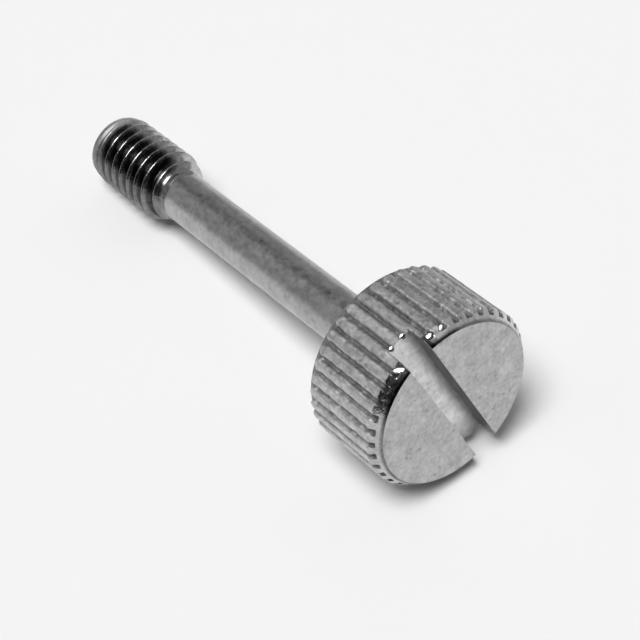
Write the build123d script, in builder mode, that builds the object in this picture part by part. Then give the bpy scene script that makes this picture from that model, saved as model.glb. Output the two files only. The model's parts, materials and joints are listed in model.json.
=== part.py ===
from build123d import *
from math import atan2, cos, radians, sin, sqrt, tan
import os

# A slotted captive screw with a knurled head, turned from one bar. Sizes in millimetres.
# Distances along the screw are measured from the underside of its head.

# Head
head_diameter = 9.5
head_length = 5.0
face_chamfer_length = 0.57
face_chamfer_rise = 0.46
rear_chamfer_length = 0.32
rear_chamfer_rise = 0.27

# Straight knurl
rib_count = 38
groove_depth = 0.24
groove_floor_width = 0.10
groove_wall_angle = 29.0
crown_easing = 0.06

# Driver slot, turned away from the upright of the head as it lies
slot_width = 1.38
slot_depth = 1.3
slot_turn = 22.6

# Neck that passes freely through the panel
neck_diameter = 2.68
neck_length = 16.8
neck_fillet = 0.4

# Threaded end, M4: the plain major diameter stands for the thread
thread_diameter = 4.0
thread_length = 6.3
shoulder_angle = 26.8
shoulder_rounding = 1.2
shoulder_root_rounding = 0.5
tip_chamfer_length = 0.6
tip_chamfer_rise = 0.15

head_radius = head_diameter / 2
neck_radius = neck_diameter / 2
thread_radius = thread_diameter / 2
groove_mouth_width = groove_floor_width + 2 * groove_depth * tan(radians(groove_wall_angle))
shank_length = neck_length + thread_length

# Left alone, the screw lies on two ribs at the back of its head and on the end of its thread.
# Each of those ribs touches with the eased edge of its crown, beside the groove that faces the floor.
crown_edge = groove_mouth_width / 2 + crown_easing
crown_reach = sqrt(head_radius**2 - crown_edge**2)
contact_run = shank_length - tip_chamfer_length + rear_chamfer_length
rest_tilt = atan2(crown_reach - thread_radius, contact_run)

# The screw's own plane lies on the underside of the head and faces its slotted end,
# with its y axis straight up across the screw, so a groove of the knurl faces the floor.
underside = Plane(origin=(0, 0, 0), x_dir=(0, 1, 0), z_dir=(cos(rest_tilt), 0, sin(rest_tilt)))
half_section = Plane(origin=(0, 0, 0), x_dir=underside.x_dir, z_dir=-underside.y_dir)
# The shank is turned from its top half, which leaves the seam of its surface away from the floor.
top_section = Plane(origin=(0, 0, 0), x_dir=underside.y_dir, z_dir=underside.x_dir)
screw_axis = Axis((0, 0, 0), tuple(underside.z_dir))
slotted_face = underside.offset(head_length)

with BuildPart() as captive_screw:
    # Rolled ribs: a round bar with the grooves pressed in
    with BuildSketch(underside) as knurled_bar:
        Circle(head_radius)
        with PolarLocations(head_radius, rib_count, start_angle=90):
            # each groove is drawn from as far outside the bar as its floor is inside it
            outer_width = 2 * groove_mouth_width - groove_floor_width
            Polygon(
                (groove_depth, -outer_width / 2),
                (groove_depth, outer_width / 2),
                (-groove_depth, groove_floor_width / 2),
                (-groove_depth, -groove_floor_width / 2),
                align=None,
                mode=Mode.SUBTRACT,
            )
        crowns = knurled_bar.vertices().filter_by(
            lambda corner: Vector(corner).length > head_radius - groove_depth / 2
        )
        chamfer(crowns, crown_easing)
    extrude(amount=head_length)

    # The lathe faces both ends of the head and chamfers across the rib ends.
    with BuildSketch(half_section) as head_outline:
        with BuildLine():
            Polyline(
                (0, 0),
                (head_radius - rear_chamfer_rise, 0),
                (head_radius, rear_chamfer_length),
                (head_radius, head_length - face_chamfer_length),
                (head_radius - face_chamfer_rise, head_length),
                (0, head_length),
                close=True,
            )
        make_face()
    revolve(axis=screw_axis, mode=Mode.INTERSECT)

    # Neck, rounded shoulder and threaded end
    shoulder_start = -neck_length
    shoulder_end = shoulder_start - (thread_radius - neck_radius) / tan(radians(shoulder_angle))
    tip = -shank_length
    with BuildSketch(top_section) as shank_outline:
        with BuildLine():
            # the fillet swells the neck where it meets the head
            swell = Line((0, 0), (neck_radius + neck_fillet, 0))
            neck_root = RadiusArc(swell @ 1, (neck_radius, -neck_fillet), -neck_fillet)
            Polyline(
                neck_root @ 1,
                (neck_radius, shoulder_start),
                (thread_radius, shoulder_end),
                (thread_radius, tip + tip_chamfer_length),
                (thread_radius - tip_chamfer_rise, tip),
                (0, tip),
                (0, 0),
            )
        make_face()
        rim = shank_outline.vertices().sort_by_distance((thread_radius, shoulder_end))[0]
        fillet(rim, shoulder_rounding)
        root = shank_outline.vertices().sort_by_distance((neck_radius, shoulder_start))[0]
        fillet(root, shoulder_root_rounding)
    revolve(axis=screw_axis)

    # One straight pass of a slitting saw
    with BuildSketch(slotted_face) as saw_pass:
        Rectangle(2 * head_diameter, slot_width, rotation=90 + slot_turn)
    extrude(amount=-slot_depth, mode=Mode.SUBTRACT)

# It stands where it lies: over the middle of its own outline, its lowest points on the floor.
outline = captive_screw.part.bounding_box()
resting_screw = captive_screw.part.moved(Pos(-outline.center().X, -outline.center().Y, -outline.min.Z))
resting_screw.label = "captive_screw"

os.makedirs("parts", exist_ok=True)
export_step(resting_screw, "parts/captive_screw.step")
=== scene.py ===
import json
import math

import bpy
from mathutils import Matrix, Vector


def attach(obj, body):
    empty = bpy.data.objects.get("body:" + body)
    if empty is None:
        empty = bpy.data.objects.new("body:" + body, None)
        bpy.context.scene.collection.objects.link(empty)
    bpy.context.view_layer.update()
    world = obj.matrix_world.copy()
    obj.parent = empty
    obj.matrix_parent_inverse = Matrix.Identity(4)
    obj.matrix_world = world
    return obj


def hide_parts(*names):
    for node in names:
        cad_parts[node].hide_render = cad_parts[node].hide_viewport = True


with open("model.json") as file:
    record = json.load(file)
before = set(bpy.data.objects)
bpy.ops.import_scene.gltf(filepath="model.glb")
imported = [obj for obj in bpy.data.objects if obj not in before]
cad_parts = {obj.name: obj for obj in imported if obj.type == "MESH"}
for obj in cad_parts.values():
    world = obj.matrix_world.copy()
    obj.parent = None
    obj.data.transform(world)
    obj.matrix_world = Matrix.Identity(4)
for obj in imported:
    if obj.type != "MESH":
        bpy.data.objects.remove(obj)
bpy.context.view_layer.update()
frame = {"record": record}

driverSlot = next(m for m in frame["record"]["mounts"] if m["name"] == "driver_slot")
slotMiddle = Vector(driverSlot["pos_m"])  # on the floor of the slot
axis = Vector(driverSlot["axis"]).normalized()  # from the thread to the slotted face
across = Vector((0, 1, 0))  # level, square to the screw
upward = axis.cross(across)
print("frame loaded, axis", tuple(round(v, 4) for v in axis))


class Wire:
    # an output of a node: sums on it add Math nodes
    def __init__(self, bench, socket):
        self.bench = bench
        self.socket = socket

    def maths(self, operation, *values):
        return self.bench.add("ShaderNodeMath", {"operation": operation}, dict(enumerate(values)))["Value"]

    def __add__(self, other):
        return self.maths("ADD", self, other)

    def __radd__(self, other):
        return self.maths("ADD", other, self)

    def __sub__(self, other):
        return self.maths("SUBTRACT", self, other)

    def __rsub__(self, other):
        return self.maths("SUBTRACT", other, self)

    def __mul__(self, other):
        return self.maths("MULTIPLY", self, other)

    def __rmul__(self, other):
        return self.maths("MULTIPLY", other, self)

    def __truediv__(self, other):
        return self.maths("DIVIDE", self, other)

    def __gt__(self, other):
        return self.maths("GREATER_THAN", self, other)

    def __lt__(self, other):
        return self.maths("LESS_THAN", self, other)

    def __abs__(self):
        return self.maths("ABSOLUTE", self)

    def of(self, operation):  # sine, floor and the like
        return self.maths(operation, self)

    def atLeast(self, low):
        return self.maths("MAXIMUM", self, low)

    def atMost(self, high):
        return self.maths("MINIMUM", self, high)

    def rise(self, low, high):  # 0 below low, 1 above high, eased between
        return self.bench.add("ShaderNodeMapRange", {"interpolation_type": "SMOOTHSTEP"},
                              {"Value": self, "From Min": low, "From Max": high})["Result"]


class Placed:
    # a node in a tree: its outputs by name or number
    def __init__(self, bench, node):
        self.bench = bench
        self.node = node

    def __getitem__(self, name):
        return Wire(self.bench, socketNamed(self.node.outputs, name))


def socketNamed(sockets, name):
    if isinstance(name, int):
        return sockets[name]
    return next(s for s in sockets if s.enabled and s.name == name)


class Bench:
    # one node tree, and the one way to put a node in it
    def __init__(self, tree):
        self.tree = tree
        tree.nodes.clear()

    def add(self, kind, settings=None, sockets=None):
        node = self.tree.nodes.new(kind)
        for name, value in (settings or {}).items():
            if name == "points":
                curve = node.mapping.curves[0]
                for place, height in value[1:-1]:
                    curve.points.new(place, height)
                for point, place in zip(curve.points, value):
                    point.location = place
                    point.handle_type = "AUTO_CLAMPED"
                node.mapping.update()
            else:
                setattr(node, name, value)
        for name, value in (sockets or {}).items():
            socket = socketNamed(node.inputs, name)
            for one in value if isinstance(value, list) else [value]:
                if isinstance(one, Wire):
                    self.tree.links.new(one.socket, socket)
                else:
                    socket.default_value = one
        return Placed(self, node)


def blended(start, end, share):
    return start + share * (end - start)


def treeInputs(tree, sizes):
    # one named input for each size
    bench = Bench(tree)
    tree.interface.new_socket("outline", in_out="INPUT", socket_type="NodeSocketGeometry")
    tree.interface.new_socket("shape", in_out="OUTPUT", socket_type="NodeSocketGeometry")
    for name, value in sizes.items():
        kind = "Int" if isinstance(value, int) else "Float" if isinstance(value, float) else "Vector"
        tree.interface.new_socket(name, in_out="INPUT", socket_type="NodeSocket" + kind)
    return bench, bench.add("NodeGroupInput")


def shaped(name, outline, tree, sizes):
    # runs a tree on an outline and keeps the result as a plain mesh
    rough = bpy.data.objects.new(name + "Outline", outline)
    bpy.context.collection.objects.link(rough)
    modifier = rough.modifiers.new("shape", "NODES")
    modifier.node_group = tree
    for item in tree.interface.items_tree:
        if item.in_out == "INPUT" and item.name in sizes:
            modifier[item.identifier] = sizes[item.name]
    depsgraph = bpy.context.evaluated_depsgraph_get()
    mesh = bpy.data.meshes.new_from_object(
        rough.evaluated_get(depsgraph), preserve_all_data_layers=True, depsgraph=depsgraph)
    bpy.data.objects.remove(rough)
    mesh.name = name
    if mesh.materials and mesh.materials[0] is None:  # the tree leaves its first slot empty
        slots = [p.material_index - 1 for p in mesh.polygons]
        mesh.materials.pop(index=0)
        mesh.polygons.foreach_set("material_index", slots)
    piece = bpy.data.objects.new(name, mesh)
    bpy.context.collection.objects.link(piece)
    return piece


# Steel finishes. Shades and roughness are 0 to 1, grain is in metres. Pairs say where a change
# starts and where it is complete, in metres across the screw unless a note says otherwise.
finish = {
    "knurl": {
        # the shades below the crown are painted shade: darker deeper in the grooves, almost black where they end
        "crown": 0.53, "groove": 0.36, "bottom": 0.27, "crevice": 0.05,
        "grooveFrom": (0.15, 0.6), "bottomFrom": (0.8, 1.0),  # parts of the groove's depth
        "greaseTo": -0.0005, "ungreased": 0.45,
        "roughness": 0.50, "creviceDull": 0.3,
        "mottling": 1.2, "pits": 0.2, "grain": 0.00020, "bump": 0.55},
    "face": {
        "shade": 0.50, "roughness": 0.48,
        "mottling": 1.0, "pits": 0.25, "grain": 0.00024, "bump": 0.5},
    "chamfer": {
        # the line's shade is a painted dark reflection along the face's edge; one side is rougher and painted lighter
        "shade": 0.48, "dulled": 0.72, "line": 0.93,
        "lineFrom": (0.06, 0.20),  # millimetres from the face
        "greaseTo": 0.0003, "ungreased": 0.6,
        "dulledFrom": (-0.0010, -0.0003),
        "roughness": 0.20, "dull": 0.48,
        "mottling": 0.9, "pits": 0.3, "grain": 0.00020, "bump": 0.5},
    "slotFloor": {
        # the corner's and the low end's darkening are painted shade
        "shade": 0.70, "corner": 0.52, "lowEnd": 0.72,
        "lowEndFrom": (0.0005, 0.0029),  # metres above the floor
        "roughness": 0.36,
        "mottling": 1.0, "pits": 0.2, "grain": 0.00034, "bump": 0.5},
    # painted shade: the slot's walls get a far darker shade than its floor
    "slotWall": {
        "shade": 0.21, "roughness": 0.42,
        "mottling": 1.6, "pits": 0.3, "grain": 0.00026, "bump": 0.5},
    "neck": {
        "shade": 0.42, "roughness": 0.34,
        "mottling": 0.9, "pits": 0.12, "grain": 0.00030, "bump": 0.2, "lathe": 0.4},
    "thread": {
        # the root's shade is a painted dark reflection in the flanks, lifted towards both sides; dull is painted
        # shade over one side
        "crest": 0.46, "root": 0.06, "clean": 0.46, "worn": 0.17, "dull": 0.45,
        "flankFrom": (0.18, 0.46),  # parts of the thread's depth
        "cleanFrom": (0.0001, 0.0008), "wornTo": (-0.0018, -0.0012), "rubbedFrom": (-0.0015, 0.0012),
        "tipFrom": (27.0, 27.5),  # millimetres from the face
        "tipLight": 0.2, "tipDull": 0.36, "roughness": 0.22,
        "mottling": 1.2, "pits": 0.3, "grain": 0.00022, "bump": 0.5},
}
speckle = {  # what the grain of every finish shares
    "fineDetail": 3.0,
    "fineRoughness": 0.6,
    "broadScale": 0.3,  # against the fine grain
    "broadDetail": 2.0,
    "broadShare": 0.6,
    "pitScale": 0.9,
    "pitFrom": (0.70, 0.80),
    "pitDepth": 0.4,
    "patchy": 0.3,  # how far the roughness follows the grain
    "latheScale": 9.0,
    "latheDetail": 3.0,
    "height": 0.00002,
    "blue": 1.005,
}
# the band of the head's rim where a dark reflection is painted at full strength
darkReflectionBand = {"from": (-0.0044, -0.0037), "edge": 0.0007}


def noise(bench, vector, scale, detail, **others):
    names = {"Roughness": others["roughness"]} if "roughness" in others else {}
    return bench.add("ShaderNodeTexNoise", {}, {"Vector": vector, "Scale": scale, "Detail": detail, **names})[0]


def mark(bench, name):
    # a measure that the skin's points carry
    return bench.add("ShaderNodeAttribute", {"attribute_name": name})["Fac"]


def coordinate(bench, letter):
    place = bench.add("ShaderNodeTexCoord")["Object"]
    return bench.add("ShaderNodeSeparateXYZ", {}, {"Vector": place})[letter]


def steel(name, look, colouring):
    # mottled and slightly pitted steel; colouring gives its even shade and roughness
    material = bpy.data.materials.new(name)
    material.use_nodes = True
    bench = Bench(material.node_tree)
    place = bench.add("ShaderNodeTexCoord")["Object"]
    scale = 1 / look["grain"]
    fine = noise(bench, place, scale, speckle["fineDetail"], roughness=speckle["fineRoughness"]) - 0.5
    broad = noise(bench, place, scale * speckle["broadScale"], speckle["broadDetail"]) - 0.5
    pits = noise(bench, place, scale * speckle["pitScale"], 0.0).rise(*speckle["pitFrom"])
    shade, roughness = colouring(bench, look)
    mottled = 1.0 + fine * look["mottling"] + broad * (speckle["broadShare"] * look["mottling"])
    shade = shade * (mottled - pits * look["pits"])
    colour = bench.add("ShaderNodeCombineColor", {}, {
        "Red": shade, "Green": shade, "Blue": shade * speckle["blue"]})["Color"]
    height = fine + broad - pits * speckle["pitDepth"]
    if "lathe" in look:
        rings = bench.add("ShaderNodeTexNoise", {"noise_dimensions": "1D"}, {
            "W": mark(bench, "along"), "Scale": speckle["latheScale"], "Detail": speckle["latheDetail"]})[0]
        height = height + rings * look["lathe"]
    normal = bench.add("ShaderNodeBump", {}, {
        "Strength": look["bump"], "Distance": speckle["height"], "Height": height})["Normal"]
    shader = bench.add("ShaderNodeBsdfPrincipled", {}, {
        "Base Color": colour, "Metallic": 1.0,
        "Roughness": roughness + fine * speckle["patchy"], "Normal": normal})["BSDF"]
    bench.add("ShaderNodeOutputMaterial", {}, {"Surface": shader})
    return material


def darkReflectionShare(bench, look):
    # 1 on the part of the head's rim where a dark reflection is painted at full strength, less on the rest of it
    side = coordinate(bench, "Y")
    stays = side.rise(*darkReflectionBand["from"]) * (1.0 - side.rise(look["greaseTo"], look["greaseTo"] + darkReflectionBand["edge"]))
    return blended(look["ungreased"], 1.0, stays)


def evenLook(bench, look):
    return look["shade"], look["roughness"]


def knurlLook(bench, look):
    # dull crowns; painted shade darkens the grooves with their depth and turns almost black at their ends between the
    # ribs' tips
    dip = mark(bench, "dip")
    crevice = mark(bench, "crevice")
    shade = blended(look["crown"], look["groove"], dip.rise(*look["grooveFrom"]))
    shade = shade + dip.rise(*look["bottomFrom"]) * (look["bottom"] - look["groove"])
    shade = blended(shade, look["crevice"], crevice * darkReflectionShare(bench, look))
    return shade, look["roughness"] + crevice * look["creviceDull"]


def chamferLook(bench, look):
    # a painted dark reflection as a thin line where it meets the face, and one side rougher and painted lighter
    line = (1.0 - mark(bench, "along").rise(*look["lineFrom"])) * darkReflectionShare(bench, look) * look["line"]
    dulled = coordinate(bench, "Y").rise(*look["dulledFrom"])
    shade = blended(look["shade"], look["dulled"], dulled) * (1.0 - line)
    return shade, blended(look["roughness"], look["dull"], dulled)


def slotLook(bench, look):
    # painted shade along one wall and towards the slot's low end
    low = 1.0 - coordinate(bench, "Z").rise(*look["lowEndFrom"])
    shade = look["shade"] * (1.0 - mark(bench, "corner") * look["corner"]) * (1.0 - low * look["lowEnd"])
    return shade, look["roughness"]


def threadLook(bench, look):
    # a painted dark reflection on the flanks, lifted towards both sides, painted shade over one side, and lighter
    # towards the tip
    side = coordinate(bench, "Y")
    root = blended(look["root"], look["clean"], side.rise(*look["cleanFrom"]))
    root = root + (1.0 - side.rise(*look["wornTo"])) * (look["worn"] - look["root"])
    shade = blended(look["crest"], root, mark(bench, "dip").rise(*look["flankFrom"]))
    tip = mark(bench, "along").rise(*look["tipFrom"])
    sideShade = blended(look["dull"], 1.0, side.rise(*look["rubbedFrom"]))
    return shade * (sideShade + tip * look["tipLight"]), look["roughness"] + tip * look["tipDull"]


steels = {  # in the order of the skin's regions
    "knurl": steel("knurledSteel", finish["knurl"], knurlLook),
    "face": steel("facedSteel", finish["face"], evenLook),
    "chamfer": steel("brightSteel", finish["chamfer"], chamferLook),
    "neck": steel("turnedSteel", finish["neck"], evenLook),
    "thread": steel("threadSteel", finish["thread"], threadLook),
    "slotFloor": steel("sawnSteel", finish["slotFloor"], slotLook),
    "slotWall": steel("shadedSlotWallSteel", finish["slotWall"], evenLook),
}
print("steel finishes ready")


# The screw is one closed skin, in millimetres: along is measured from the face towards the tip.
screw = {
    "ribCount": 38,
    "columnsPerRib": 15,
    "columnsToShank": 3,  # head columns that meet one shank column
    "headLength": 5.0,
    "faceRadius": 4.29,
    "chamferSlope": 0.807,  # how fast the chamfer widens away from the face
    "grooveFloor": 4.51,  # radius
    "grooveDepth": 0.24,
    "ribFront": 0.61,  # where a rib starts to round off towards the face
    "ribFrontRun": 0.45,
    "ribBack": 4.55,  # and towards the underside
    "ribBackRun": 0.38,
    "ribWobble": 0.50,
    "wobbleRadius": 4.6,
    "wobbleScale": 3.0,
    "dentScale": 2.6,
    "dentDepth": 0.12,  # part of the rib's height
    "dentFrom": 0.55,
    "dentFull": 0.9,
    "seed": 4.0,
    "neckRadius": 1.34,
    "neckEnd": 21.8,
    "shoulderSlope": math.tan(math.radians(26.8)),
    "threadRadius": 2.0,
    "threadDepth": 0.43,
    "threadPitch": 0.702,
    "threadStart": 23.17,  # a crest lies here on the side at threadTurn
    "threadTurn": math.radians(120.5),
    "threadFrom": 21.85,  # it starts on the shoulder and reaches its full depth after threadRun
    "threadRun": 1.35,
    "threadFade": 27.4,
    "fadeRun": 0.45,
    "tipStart": 27.5,
    "tipSlope": 0.25,
    "length": 28.1,
    "sawLength": 12.0,
    "slotWidth": 1.38,
    "slotDepth": 1.3,
    "slotTurn": math.radians(112.6),
    "slotEdge": 0.006,
    "sharpFrom": math.radians(40),
}
turned = {  # what only the outline that the lathe leaves needs
    "faceRings": (0.0, 1.2, 2.4, 3.4, 3.9, 4.15, 4.25),
    "chamferStep": 0.05,
    "ribSpans": ((0.57, 0.03), (0.8, 0.03), (4.3, 0.1), (4.955, 0.04)),  # end of each and its step
    "undersideRings": (4.48, 4.1, 3.2, 2.4, 1.9, 1.74),
    "neckFillet": 0.4,
    "rootFillet": 0.5,
    "shoulderFillet": 1.2,
    "neckStep": 1.2,
    "threadStep": 0.035,
    "threadStepFrom": 21.5,
    "tipRings": (1.80, 1.2, 0.6, 0.0),
}
burrs = {  # bright flakes that the saw threw up
    "facing": 115,  # degrees round the head
    "outwards": 0.90,
    "forwards": 0.44,
    "thickness": 0.07,
    "fineness": 3,
    "seats": (  # distance from the face, degrees round the head, radius, length, width, slant
        (1.47, 109.0, 4.62, 0.36, 0.22, 0),
        (1.44, 118.2, 4.62, 0.30, 0.22, 0),
        (0.36, 125.0, 4.60, 0.62, 0.30, 45),
        (0.44, 100.2, 4.60, 0.44, 0.26, 0),
        (0.42, 91.6, 4.60, 0.36, 0.20, -25),
    ),
}
# heights against the distance from the middle of a rib, and from a crest of the thread
ribShape = [(0, 1), (0.44, 1), (0.53, 0.96), (0.62, 0.78), (0.78, 0.33), (0.88, 0.09), (0.95, 0.01), (1, 0)]
threadShape = [(0, 1), (0.08, 0.99), (0.15, 0.92), (0.50, 0.50), (0.88, 0.06), (0.95, 0.01), (1, 0)]
fullTurn = 2 * math.pi


def rounded(before, corner, after, radius, steps=10):
    # a fillet as points, from the leg before the corner to the leg after it
    corner, before, after = Vector(corner), Vector(before), Vector(after)
    first, second = (before - corner).normalized(), (after - corner).normalized()
    half = first.angle(second) / 2
    middle = corner + (first + second).normalized() * (radius / math.sin(half))
    reach = radius / math.tan(half)
    start, end = corner + first * reach, corner + second * reach
    points = []
    for step in range(steps + 1):
        mixed = (start - middle).lerp(end - middle, step / steps)
        points.append(middle + mixed.normalized() * radius)
    return points


def evenly(start, end, step):
    count = max(1, round((end - start) / step))
    return [start + (end - start) * i / count for i in range(count)]


def headStations():
    # the face, the chamfer, the ribs and the underside, without the ribs' own height
    floor = screw["grooveFloor"]
    points = [(0, r) for r in turned["faceRings"]]
    start = (floor - screw["faceRadius"]) / screw["chamferSlope"]
    points += [(s, screw["faceRadius"] + screw["chamferSlope"] * s) for s in evenly(0, start, turned["chamferStep"])]
    for end, step in turned["ribSpans"]:
        points += [(s, floor) for s in evenly(start, end, step)]
        start = end
    points.append((start, floor))
    points += [(screw["headLength"], r) for r in turned["undersideRings"]]
    return points


def shankStations():
    # the swell into the head, the neck, the rounded shoulder, the thread's own bar and the tip
    swell, neck, bar = turned["neckFillet"], screw["neckRadius"], screw["threadRadius"]
    foot = screw["headLength"] + swell
    shoulder = (screw["neckEnd"], neck)
    rim = (screw["neckEnd"] + (bar - neck) / screw["shoulderSlope"], bar)
    tipStart, tip = screw["tipStart"], screw["length"]
    line = []
    for degrees in range(180, 269, 11):
        bend = math.radians(degrees)
        line.append(Vector((foot + swell * math.cos(bend), neck + swell + swell * math.sin(bend))))
    line.append(Vector((foot, neck)))
    places = [p.x for p in line]
    line += rounded((foot, neck), shoulder, rim, turned["rootFillet"])
    line += rounded(shoulder, rim, (tipStart, bar), turned["shoulderFillet"], 16)
    line += [Vector((tipStart, bar)), Vector((tip, bar - screw["tipSlope"] * (tip - tipStart)))]
    places += evenly(foot, turned["threadStepFrom"], turned["neckStep"])[1:]
    places += evenly(turned["threadStepFrom"], tip, turned["threadStep"]) + [tip]
    points = []
    for place in places:
        after = next((i for i, p in enumerate(line) if p.x >= place - 1e-9 and i), len(line) - 1)
        a, b = line[after - 1], line[after]
        part = min(1, max(0, (place - a.x) / max(1e-9, b.x - a.x)))
        points.append((place, a.y + (b.y - a.y) * part))
    return points + [(tip, r) for r in turned["tipRings"]]


def turnedSheet(bench, outline, columns, stations, first):
    # a sheet with a row of points for each station, and each point's column, distance along and radius
    sheet = bench.add("GeometryNodeMeshGrid", {}, {"Vertices X": columns + 1, "Vertices Y": stations})["Mesh"]
    index = bench.add("GeometryNodeInputIndex")["Index"]
    column = (index / stations).of("FLOOR")
    station = index - column * stations
    position = bench.add("GeometryNodeInputPosition")["Position"]
    point = bench.add("GeometryNodeSampleIndex", {"data_type": "FLOAT_VECTOR"}, {
        "Geometry": outline, "Value": position, "Index": station + first})["Value"]
    parts = bench.add("ShaderNodeSeparateXYZ", {}, {"Vector": point})
    return sheet, column, station, parts["X"], parts["Y"]


def wrapped(bench, sheet, angle, along, radius):
    # bends a sheet round the axis, the face up
    place = bench.add("ShaderNodeCombineXYZ", {}, {
        "X": radius * angle.of("COSINE"), "Y": radius * angle.of("SINE"), "Z": along * -1.0})["Vector"]
    return bench.add("GeometryNodeSetPosition", {}, {"Geometry": sheet, "Position": place})["Geometry"]


def ribbedHead(bench, given):
    # columns crowd into the grooves, and the last ring meets the shank's columns
    columns = given["ribCount"] * given["columnsPerRib"]
    sheet, column, station, along, radius = turnedSheet(bench, given["outline"], columns, given["headStations"], 0)
    phase = column / given["columnsPerRib"]
    rib = phase.of("ROUND")
    aside = phase - rib
    aside = aside + (aside * fullTurn).of("SINE") * (0.5 / fullTurn)
    angle = (rib + aside) * fullTurn / given["ribCount"]
    shankColumn = (column / given["columnsToShank"] + 0.5).of("FLOOR")
    met = shankColumn * given["columnsToShank"] * fullTurn / columns
    angle = blended(angle, met, station > given["headStations"] - 1.5)

    # ribs with wavy edges and slightly uneven crowns, cut off flush by the chamfer's cone
    where = bench.add("ShaderNodeCombineXYZ", {}, {
        "X": angle.of("COSINE") * given["wobbleRadius"], "Y": angle.of("SINE") * given["wobbleRadius"],
        "Z": along})["Vector"]
    waves = bench.add("ShaderNodeTexNoise", {"noise_dimensions": "4D"}, {
        "Vector": where, "W": given["seed"], "Scale": given["wobbleScale"], "Detail": 2.0})[0] - 0.5
    dents = bench.add("ShaderNodeTexNoise", {"noise_dimensions": "4D"}, {
        "Vector": where, "W": given["seed"] + 7.0, "Scale": given["dentScale"], "Detail": 1.0})[0]
    front = ((given["ribFront"] - along) / given["ribFrontRun"]).atLeast(0.0)
    back = ((along - given["ribBack"]) / given["ribBackRun"]).atLeast(0.0)
    reach = ((aside * 2.0) * (aside * 2.0) + front * front + back * back).of("SQRT") + waves * given["ribWobble"]
    height = bench.add("ShaderNodeFloatCurve", {"points": ribShape}, {"Value": reach})["Value"]
    dented = dents * along.rise(given["dentFrom"], given["dentFull"]) * given["dentDepth"]
    radius = radius + height * given["grooveDepth"] * (1.0 - dented)
    radius = radius.atMost(along * given["chamferSlope"] + given["faceRadius"])
    return wrapped(bench, sheet, angle, along, radius)


def threadedShank(bench, given):
    # the thread is cut into the turned outline, and runs out on the shoulder by itself
    columns = given["ribCount"] * given["columnsPerRib"] / given["columnsToShank"]
    sheet, column, station, along, radius = turnedSheet(
        bench, given["outline"], columns, given["shankStations"], given["headStations"])
    angle = column * fullTurn / columns
    turns = (along - given["threadStart"]) / given["threadPitch"] + (angle - given["threadTurn"]) / fullTurn
    fromCrest = 1.0 - abs(turns.of("FRACT") * 2.0 - 1.0)
    crest = bench.add("ShaderNodeFloatCurve", {"points": threadShape}, {"Value": fromCrest})["Value"]
    begins = ((along - given["threadFrom"]) / given["threadRun"]).atMost(1.0).atLeast(0.0)
    fades = 1.0 - (along - given["threadFade"]).rise(0.0, given["fadeRun"])
    radius = radius - (1.0 - crest) * fades * begins * given["threadDepth"]
    return wrapped(bench, sheet, angle, along, radius)


def slotted(bench, given, bar):
    # the saw is a bar whose top flares, which breaks the slot's edges
    size = bench.add("ShaderNodeCombineXYZ", {}, {"X": given["sawLength"], "Y": 1.0, "Z": 1.0})["Vector"]
    saw = bench.add("GeometryNodeMeshCube", {}, {
        "Size": size, "Vertices X": 2, "Vertices Y": 2, "Vertices Z": 4})["Mesh"]
    spot = bench.add("ShaderNodeSeparateXYZ", {}, {"Vector": bench.add("GeometryNodeInputPosition")["Position"]})
    level = ((spot["Z"] + 0.5) * 3.0).of("ROUND")  # 0 on the slot's floor, 3 above the face
    above = level > 1.5
    depth = (1.0 - (level > 0.5)) * given["slotDepth"] + (1.0 - above) * (level > 0.5) * given["slotEdge"]
    depth = depth - above * given["slotEdge"] - (level > 2.5) * 1.0
    half = given["slotWidth"] * 0.5 + above * given["slotEdge"] * 2.0
    place = bench.add("ShaderNodeCombineXYZ", {}, {
        "X": spot["X"], "Y": spot["Y"] * 2.0 * half, "Z": depth * -1.0})["Vector"]
    saw = bench.add("GeometryNodeSetPosition", {}, {"Geometry": saw, "Position": place})["Geometry"]
    lay = bench.add("ShaderNodeCombineXYZ", {}, {"Z": given["slotTurn"]})["Vector"]
    saw = bench.add("GeometryNodeTransform", {}, {"Geometry": saw, "Rotation": lay})["Geometry"]
    return bench.add("GeometryNodeMeshBoolean", {"operation": "DIFFERENCE", "solver": "EXACT"}, {
        "Mesh 1": bar, "Mesh 2": saw})["Mesh"]


def kept(bench, geometry, domain, values):
    # stores measures under their names
    for name, value in values.items():
        geometry = bench.add("GeometryNodeStoreNamedAttribute", {"data_type": "FLOAT", "domain": domain}, {
            "Geometry": geometry, "Name": name, "Value": value})["Geometry"]
    return geometry


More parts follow.
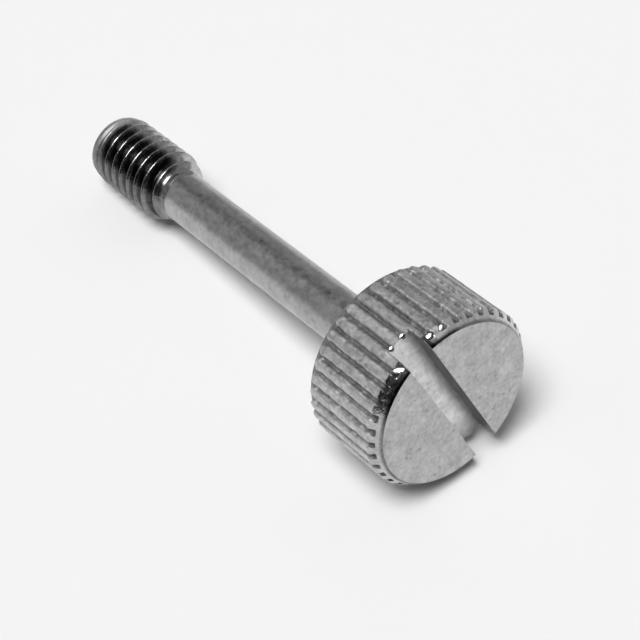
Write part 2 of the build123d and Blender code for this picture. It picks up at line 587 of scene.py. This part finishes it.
def marked(bench, given, skin):
    # sharp edges, and what the finishes need to know about each place on the skin
    spot = bench.add("ShaderNodeSeparateXYZ", {}, {"Vector": bench.add("GeometryNodeInputPosition")["Position"]})
    away = spot["Z"] * -1.0
    out = (spot["X"] * spot["X"] + spot["Y"] * spot["Y"]).of("SQRT")
    side = spot["X"] * given["slotTurn"].of("SINE") - spot["Y"] * given["slotTurn"].of("COSINE")
    wall = given["slotWidth"] * 0.5

    ribDip = 1.0 - (out - given["grooveFloor"]) / given["grooveDepth"]
    uncut = (away - given["neckEnd"]) * given["shoulderSlope"] + given["neckRadius"]
    uncut = uncut.atMost(given["threadRadius"])
    uncut = uncut.atMost(given["threadRadius"] - (away - given["tipStart"]) * given["tipSlope"])
    threadDip = (uncut - out) / given["threadDepth"]
    onHead = away < given["headLength"] - 0.02
    dip = ribDip * onHead + threadDip * (1.0 - onHead)
    # painted shade where the grooves end between the ribs' tips, next to the chamfer
    crevice = ribDip.rise(0.06, 0.5) * away.rise(0.20, 0.33) * (1.0 - away.rise(0.5, 0.8))
    # painted shade along one wall of the slot
    corner = (side / wall).rise(0.0, 0.9)

    # shading breaks only at the edges that a lathe and a saw leave
    skin = bench.add("GeometryNodeSetShadeSmooth", {"domain": "FACE"}, {0: skin, "Shade Smooth": True})[0]
    bend = bench.add("GeometryNodeInputMeshEdgeAngle")["Unsigned Angle"]
    close, wide = 0.03, 0.08
    turnedEdge = (away < close) + (abs(away - given["headLength"]) < close) * (out > 1.8)
    turnedEdge = turnedEdge + (away > given["length"] - 0.05)
    sawnEdge = (abs(abs(side) - wall) < wide) * (away < given["slotDepth"] + 0.05)
    sawnEdge = sawnEdge + (abs(away - given["slotDepth"]) < close) * (abs(side) < wall + wide)
    ribTip = (away > 0.25) * (away < 0.60) * (out > 4.6)
    sharp = (bend > given["sharpFrom"]) * (turnedEdge + sawnEdge > 0.5) + (bend > 0.35) * ribTip
    skin = bench.add("GeometryNodeSetShadeSmooth", {"domain": "EDGE"}, {
        0: skin, "Selection": sharp, "Shade Smooth": False})[0]

    inSlot = (abs(side) < wall + close) * (away < given["slotDepth"] + 0.05)
    onWall = inSlot * (away < given["slotDepth"] - 0.01) * (away > close)
    onFace = (away < 0.002) * (1.0 - inSlot)
    onCone = out > away * given["chamferSlope"] + (given["faceRadius"] - 0.008)
    onChamfer = (away < 0.575) * onCone * (away > 0.002) * (1.0 - inSlot)
    onThread = (away > given["neckEnd"] - 0.05) * (away < given["length"] - 0.01)
    onNeck = (away > given["headLength"] + 0.001) * (1.0 - onThread)
    region = onFace * 1.0 + onChamfer * 2.0 + onNeck * 3.0 + onThread * 4.0 + inSlot * 5.0 + onWall * 1.0
    skin = kept(bench, skin, "POINT", {"along": away, "dip": dip, "crevice": crevice, "corner": corner})
    return kept(bench, skin, "FACE", {"region": region})


def flaked(bench):
    # the flakes stand at both ends of the slot and are of the chamfer's steel
    flakes = []
    for place, turnedBy, radius, length, width, slant in burrs["seats"]:
        for end in (0, 180):
            seat = math.radians(turnedBy + end)
            middle = Vector((radius * math.cos(seat), radius * math.sin(seat), -place))
            tilt = math.radians(burrs["facing"] + end)
            outwards = burrs["outwards"]
            facing = Vector((outwards * math.cos(tilt), outwards * math.sin(tilt), burrs["forwards"])).normalized()
            slope = math.radians(slant)
            side = Vector((-math.sin(seat), math.cos(seat), 0)) * math.cos(slope) - Vector((0, 0, math.sin(slope)))
            side = (side - facing * side.dot(facing)).normalized()
            lie = Matrix((side, facing.cross(side), facing)).transposed().to_euler()
            flake = bench.add("GeometryNodeMeshIcoSphere", {}, {
                "Radius": 0.5, "Subdivisions": burrs["fineness"]})["Mesh"]
            flakes.append(bench.add("GeometryNodeTransform", {}, {
                "Geometry": flake, "Translation": middle, "Rotation": lie,
                "Scale": (length, width, burrs["thickness"])})["Geometry"])
    joined = bench.add("GeometryNodeJoinGeometry", {}, {"Geometry": flakes})["Geometry"]
    joined = bench.add("GeometryNodeSetShadeSmooth", {"domain": "FACE"}, {0: joined, "Shade Smooth": True})[0]
    joined = kept(bench, joined, "POINT", {"along": 1.0})
    return kept(bench, joined, "FACE", {"region": 2.0})


def screwTree(sizes):
    tree = bpy.data.node_groups.new("knurledScrew", "GeometryNodeTree")
    bench, given = treeInputs(tree, sizes)
    parts = [ribbedHead(bench, given), threadedShank(bench, given)]
    joined = bench.add("GeometryNodeJoinGeometry", {}, {"Geometry": parts})["Geometry"]
    closed = bench.add("GeometryNodeMergeByDistance", {}, {"Geometry": joined, "Distance": 0.0005})["Geometry"]
    # the sheets wrap with their backs outwards
    closed = bench.add("GeometryNodeFlipFaces", {}, {"Mesh": closed})["Mesh"]
    skin = marked(bench, given, slotted(bench, given, closed))
    whole = bench.add("GeometryNodeJoinGeometry", {}, {"Geometry": [skin, flaked(bench)]})["Geometry"]
    whole = bench.add("GeometryNodeTransform", {}, {
        "Geometry": whole, "Translation": given["place"], "Rotation": given["lay"],
        "Scale": (0.001, 0.001, 0.001)})["Geometry"]
    whole = bench.add("GeometryNodeRealizeInstances", {}, {"Geometry": whole})["Geometry"]
    region = bench.add("GeometryNodeInputNamedAttribute", {"data_type": "FLOAT"}, {"Name": "region"})["Attribute"]
    for number, material in enumerate(steels.values()):
        whole = bench.add("GeometryNodeSetMaterial", {}, {
            "Geometry": whole, "Selection": abs(region - float(number)) < 0.5, "Material": material})["Geometry"]
    bench.add("NodeGroupOutput", {}, {"shape": whole})
    return tree


stations = [headStations(), shankStations()]
outline = bpy.data.meshes.new("screwOutline")
outline.from_pydata([(s, r, 0) for s, r in stations[0] + stations[1]], [], [])
screw["headStations"] = len(stations[0])
screw["shankStations"] = len(stations[1])
screw["place"] = list(slotMiddle + axis * 0.001 * screw["slotDepth"])
screw["lay"] = list(Matrix((across, upward, axis)).transposed().to_euler())
piece = shaped("captiveScrewSkin", outline, screwTree(screw), screw)
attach(piece, "root")
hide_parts("captive_screw")
triangles = sum(len(p.vertices) - 2 for p in piece.data.polygons)
print("screw made:", len(piece.data.vertices), "points,", triangles, "triangles")


# Spots of the room are a direction, the angles at which they are full and end, and a level.
studio = {
    "floorRadius": 0.6,
    "floorShade": 0.84,
    "floorRoughness": 0.9,
    "overhead": ((0.13, -0.34, 0.93), 8, 17, 18.0),
    "dark": ((0.80, -0.35, 0.45), 45, 75, 0.015),
    "dimmed": ((-0.71, 0.19, 0.68), 7, 18, 0.7),
    "dim": 0.34,  # the rest of the room
    "pale": 0.96,  # what the camera sees past the floor
    "lens": 99.049,
    "sensor": 36,
    "nearest": 0.005,
    "cameraPlace": (0.051366, -0.034960, 0.068046),
    "cameraTurn": (42.0100, 2.2385, 51.2361),
}

floorMesh = bpy.data.meshes.new("floor")
rim = [math.radians(a) for a in range(0, 360, 5)]
floorMesh.from_pydata(
    [(studio["floorRadius"] * math.cos(a), studio["floorRadius"] * math.sin(a), 0) for a in rim],
    [], [list(range(len(rim)))])
floor = bpy.data.objects.new("floor", floorMesh)
bpy.context.collection.objects.link(floor)
paper = bpy.data.materials.new("palePaper")
paper.use_nodes = True
bench = Bench(paper.node_tree)
shade = studio["floorShade"]
shader = bench.add("ShaderNodeBsdfPrincipled", {}, {
    "Base Color": (shade, shade, shade, 1), "Roughness": studio["floorRoughness"], "Specular IOR Level": 0.0})["BSDF"]
bench.add("ShaderNodeOutputMaterial", {}, {"Surface": shader})
floorMesh.materials.append(paper)
print("floor laid")


def spotShare(bench, seen, name):
    # 1 where a ray looks at a spot of the room, 0 away from it
    direction, inner, outer, level = studio[name]
    nearness = bench.add("ShaderNodeVectorMath", {"operation": "DOT_PRODUCT"}, {
        0: seen, 1: Vector(direction).normalized()})["Value"]
    return nearness.rise(math.cos(math.radians(outer)), math.cos(math.radians(inner))), level


world = bpy.data.worlds.new("studio")
bpy.context.scene.world = world
world.use_nodes = True
bench = Bench(world.node_tree)
seen = bench.add("ShaderNodeTexCoord")["Generated"]
share, darkLevel = spotShare(bench, seen, "dark")
level = blended(studio["dim"], darkLevel, share)
share, dimming = spotShare(bench, seen, "dimmed")
level = level * (1.0 - share * dimming)
share, bright = spotShare(bench, seen, "overhead")
level = level + share * bright
level = blended(level, studio["pale"], bench.add("ShaderNodeLightPath")["Is Camera Ray"])
background = bench.add("ShaderNodeBackground", {}, {"Color": (1, 1, 1, 1), "Strength": level})["Background"]
bench.add("ShaderNodeOutputWorld", {}, {"Surface": background})

cameraData = bpy.data.cameras.new("camera")
cameraData.lens = studio["lens"]
cameraData.sensor_width = studio["sensor"]
cameraData.clip_start = studio["nearest"]
camera = bpy.data.objects.new("camera", cameraData)
camera.location = studio["cameraPlace"]
camera.rotation_euler = [math.radians(a) for a in studio["cameraTurn"]]
bpy.context.collection.objects.link(camera)
bpy.context.scene.camera = camera
bpy.context.scene.view_settings.view_transform = "Standard"
print("light and camera ready")
